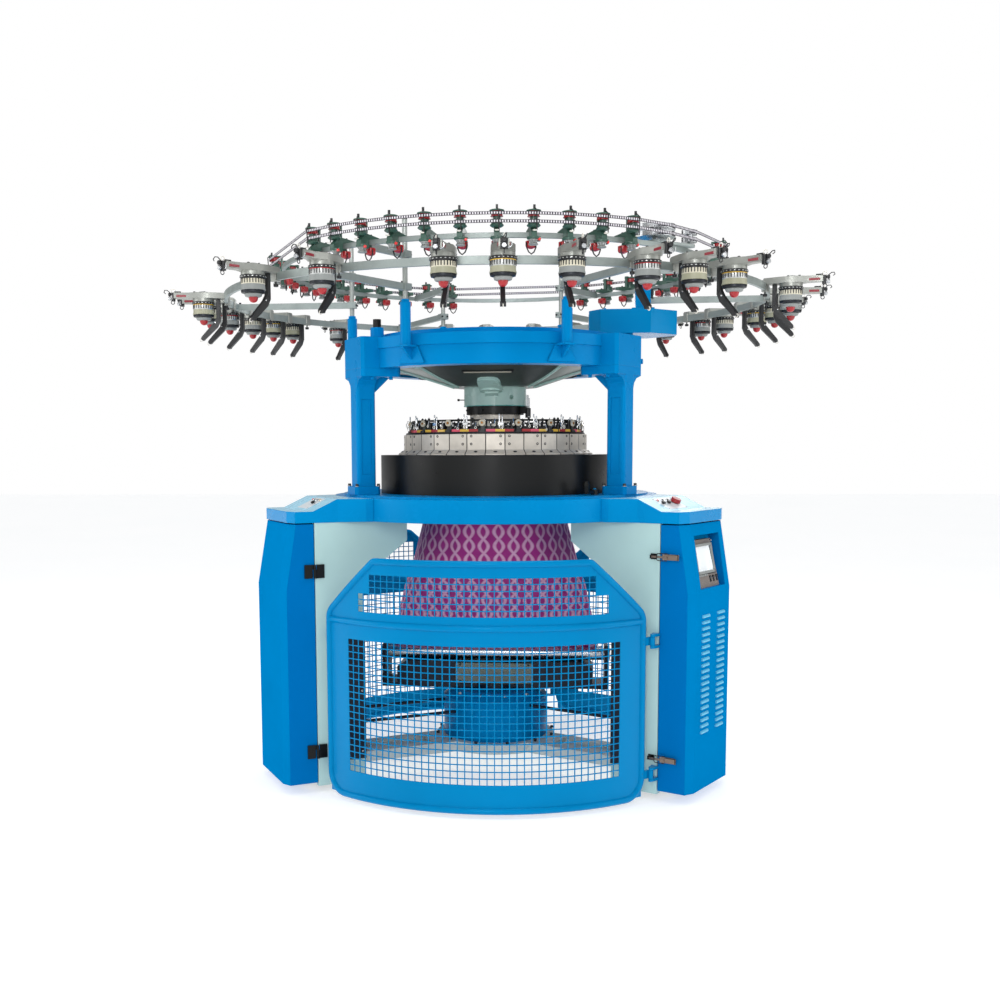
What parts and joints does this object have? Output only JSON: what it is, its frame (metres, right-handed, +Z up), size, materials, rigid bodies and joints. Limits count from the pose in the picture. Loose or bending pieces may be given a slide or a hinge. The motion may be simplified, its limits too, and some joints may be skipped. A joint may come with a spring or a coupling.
{
  "type": "circular knitting machine",
  "caption": "Circular knitting machine with a three-legged cabinet frame, guard doors, needle head, fabric take-down and a creel of yarn feeders on two rings",
  "frame": {"origin": "on the floor, on the axis of the needle cylinder", "axes": "+Z up along the cylinder's axis; the operator's side with the front guard door faces -Y; +X is to the right of someone who faces the machine"},
  "size_m": [2.7414, 2.736, 2.26],
  "materials": {
    "frame_blue": "glossy sky-blue enamel",
    "panel_grey": "satin grey-green powder coat",
    "inner_navy": "satin dark navy paint",
    "base_grey": "machined and grey painted casting",
    "bright_steel": "ground and polished steel",
    "cam_silver": "champagne satin anodised",
    "dish_grey": "light grey cast alloy",
    "black_steel": "black satin",
    "latch_steel": "bright zinc plate",
    "feeder_black": "black moulded nylon",
    "drum_grey": "light grey moulded with ceramic finish",
    "belt_white": "toothed tape",
    "roller_rubber": "dark rubber covering",
    "knit_fabric": "magenta jacquard knit",
    "panel_dark": "dark control fascia",
    "button_red": "red",
    "button_green": "green",
    "button_black": "black"
  },
  "bodies": {
    "machine": {"base_arms": "base_grey", "steel_frame": "inner_navy", "levelling_feet": "base_grey", "side_panels": "panel_grey", "cover_hinges": "black_steel", "leg_equipment": "panel_grey", "leg_lids": "frame_blue", "door_brackets": "frame_blue", "bed_plate": "frame_blue", "columns": "frame_blue", "bridge_ring": "frame_blue", "dial_dish": "dish_grey", "dial_housing": "panel_grey", "clamp_ring": "black_steel", "skirt_guard": "black_steel", "cam_boxes": "cam_silver", "yarn_guide_ring": "black_steel", "post_sockets": "frame_blue", "creel_posts": "bright_steel", "ring_spokes": "bright_steel", "feeder_rings": "bright_steel", "storage_housings": "drum_grey", "storage_drums": "drum_grey", "storage_arms": "feeder_black", "feeder_bodies": "feeder_black", "feeder_pulleys": "feeder_black", "feed_belts": "belt_white", "drive_box": "frame_blue", "centre_gearbox": "frame_blue"},
    "cover_left": {"cover_left": "frame_blue"},
    "latch_left_lower": {"latch_left_lower": "latch_steel"},
    "latch_left_upper": {"latch_left_upper": "latch_steel"},
    "cover_right": {"cover_right": "frame_blue", "control_panel": "panel_dark"},
    "latch_right_lower": {"latch_right_lower": "latch_steel"},
    "latch_right_upper": {"latch_right_upper": "latch_steel"},
    "cover_rear": {"cover_rear": "frame_blue"},
    "latch_rear_lower": {"latch_rear_lower": "latch_steel"},
    "latch_rear_upper": {"latch_rear_upper": "latch_steel"},
    "door_front": {"door_front": "frame_blue"},
    "door_right_rear": {"door_right_rear": "frame_blue"},
    "door_left_rear": {"door_left_rear": "frame_blue"},
    "cylinder": {"needle_cylinder": "bright_steel", "fabric_tube": "knit_fabric"},
    "dial": {"needle_dial": "bright_steel"},
    "takedown": {"takedown_frame": "inner_navy", "takedown_guards": "panel_grey"},
    "takedown_roller_front": {"takedown_roller_front": "roller_rubber"},
    "takedown_roller_rear": {"takedown_roller_rear": "roller_rubber"},
    "quality_wheels": {"quality_wheels": "bright_steel"},
    "belt_idler": {"belt_idler": "feeder_black"},
    "stop_button": {"stop_button": "button_red"},
    "start_button": {"start_button": "button_green"},
    "inch_button": {"inch_button": "button_black"},
    "start_button_left": {"start_button_left": "button_green"},
    "switch_1": {"switch_1": "button_black"},
    "switch_2": {"switch_2": "button_black"},
    "switch_3": {"switch_3": "button_black"},
    "hand_lever": {"hand_lever": "black_steel"},
    "block_knob": {"block_knob": "frame_blue"}
  },
  "joints": [
    {"name": "cover_left_hinge", "type": "hinge", "parent": "machine", "child": "cover_left", "pos_m": [-0.67096, -0.62987, 0.142], "axis": [0, 0, 1], "range_deg": [0, 100]},
    {"name": "latch_left_lower_pivot", "type": "hinge", "parent": "cover_left", "child": "latch_left_lower", "pos_m": [-0.89805, -0.27254, 0.171], "axis": [0, 0, -1], "range_deg": [0, 105]},
    {"name": "latch_left_upper_pivot", "type": "hinge", "parent": "cover_left", "child": "latch_left_upper", "pos_m": [-0.89805, -0.27254, 0.961], "axis": [0, 0, -1], "range_deg": [0, 105]},
    {"name": "cover_right_hinge", "type": "hinge", "parent": "machine", "child": "cover_right", "pos_m": [0.88096, -0.26614, 0.142], "axis": [0, 0, 1], "range_deg": [0, 100]},
    {"name": "latch_right_lower_pivot", "type": "hinge", "parent": "cover_right", "child": "latch_right_lower", "pos_m": [0.68505, -0.64146, 0.171], "axis": [0, 0, -1], "range_deg": [0, 105]},
    {"name": "latch_right_upper_pivot", "type": "hinge", "parent": "cover_right", "child": "latch_right_upper", "pos_m": [0.68505, -0.64146, 0.961], "axis": [0, 0, -1], "range_deg": [0, 105]},
    {"name": "cover_rear_hinge", "type": "hinge", "parent": "machine", "child": "cover_rear", "pos_m": [-0.21, 0.896, 0.142], "axis": [0, 0, 1], "range_deg": [0, 100]},
    {"name": "latch_rear_lower_pivot", "type": "hinge", "parent": "cover_rear", "child": "latch_rear_lower", "pos_m": [0.213, 0.914, 0.171], "axis": [0, 0, -1], "range_deg": [0, 105]},
    {"name": "latch_rear_upper_pivot", "type": "hinge", "parent": "cover_rear", "child": "latch_rear_upper", "pos_m": [0.213, 0.914, 0.961], "axis": [0, 0, -1], "range_deg": [0, 105]},
    {"name": "door_front_hinge", "type": "hinge", "parent": "machine", "child": "door_front", "pos_m": [0.64728, -0.64955, 0.096], "axis": [0, 0, 1], "range_deg": [0, 95]},
    {"name": "door_right_rear_hinge", "type": "hinge", "parent": "machine", "child": "door_right_rear", "pos_m": [0.23888, 0.88534, 0.096], "axis": [0, 0, 1], "range_deg": [0, 95]},
    {"name": "door_left_rear_hinge", "type": "hinge", "parent": "machine", "child": "door_left_rear", "pos_m": [-0.88617, -0.23579, 0.096], "axis": [0, 0, 1], "range_deg": [0, 95]},
    {"name": "cylinder_turn", "type": "hinge", "parent": "machine", "child": "cylinder", "pos_m": [0, 0, 1.3], "axis": [0, 0, 1], "continuous": true},
    {"name": "dial_turn", "type": "hinge", "parent": "machine", "child": "dial", "pos_m": [0, 0, 1.5], "axis": [0, 0, 1], "continuous": true},
    {"name": "takedown_turn", "type": "hinge", "parent": "machine", "child": "takedown", "pos_m": [0, 0, 0.335], "axis": [0, 0, 1], "continuous": true},
    {"name": "roller_front_turn", "type": "hinge", "parent": "takedown", "child": "takedown_roller_front", "pos_m": [0, -0.028, 0.474], "axis": [1, 0, 0], "continuous": true},
    {"name": "roller_rear_turn", "type": "hinge", "parent": "takedown", "child": "takedown_roller_rear", "pos_m": [0, 0.028, 0.474], "axis": [1, 0, 0], "continuous": true},
    {"name": "quality_wheels_turn", "type": "hinge", "parent": "machine", "child": "quality_wheels", "pos_m": [0.63662, -0.61477, 2.163], "axis": [0, 0, 1], "continuous": true},
    {"name": "belt_idler_turn", "type": "hinge", "parent": "machine", "child": "belt_idler", "pos_m": [0.77577, -0.50379, 2.163], "axis": [0, 0, 1], "continuous": true},
    {"name": "stop_button_press", "type": "slide", "parent": "machine", "child": "stop_button", "axis": [-0.3654, 0.211, -0.9066], "range_m": [0, 0.003], "stiffness_N_per_m": 400},
    {"name": "start_button_press", "type": "slide", "parent": "machine", "child": "start_button", "axis": [-0.3654, 0.211, -0.9066], "range_m": [0, 0.003], "stiffness_N_per_m": 400},
    {"name": "inch_button_press", "type": "slide", "parent": "machine", "child": "inch_button", "axis": [-0.3654, 0.211, -0.9066], "range_m": [0, 0.003], "stiffness_N_per_m": 400},
    {"name": "start_button_left_press", "type": "slide", "parent": "machine", "child": "start_button_left", "axis": [0.3654, 0.211, -0.9066], "range_m": [0, 0.003], "stiffness_N_per_m": 400},
    {"name": "switch_1_rock", "type": "hinge", "parent": "cover_right", "child": "switch_1", "pos_m": [0.87563, -0.48245, 0.863], "axis": [0.5, 0.866, 0], "range_deg": [-10, 10]},
    {"name": "switch_2_rock", "type": "hinge", "parent": "cover_right", "child": "switch_2", "pos_m": [0.89063, -0.45647, 0.863], "axis": [0.5, 0.866, 0], "range_deg": [-10, 10]},
    {"name": "switch_3_rock", "type": "hinge", "parent": "cover_right", "child": "switch_3", "pos_m": [0.90563, -0.43049, 0.863], "axis": [0.5, 0.866, 0], "range_deg": [-10, 10]},
    {"name": "hand_lever_swing", "type": "hinge", "parent": "machine", "child": "hand_lever", "pos_m": [0.42805, -0.3626, 1.2], "axis": [0, 0, 1], "range_deg": [0, 80]},
    {"name": "block_knob_turn", "type": "hinge", "parent": "machine", "child": "block_knob", "pos_m": [-0.46497, -0.31464, 1.85], "axis": [0, 0, 1], "continuous": true}
  ],
  "couplings": [
    {"joint": "dial_turn", "follows": "cylinder_turn", "ratio": 1},
    {"joint": "takedown_turn", "follows": "cylinder_turn", "ratio": 1},
    {"joint": "roller_front_turn", "follows": "cylinder_turn", "ratio": -0.2},
    {"joint": "roller_rear_turn", "follows": "cylinder_turn", "ratio": 0.2}
  ]
}
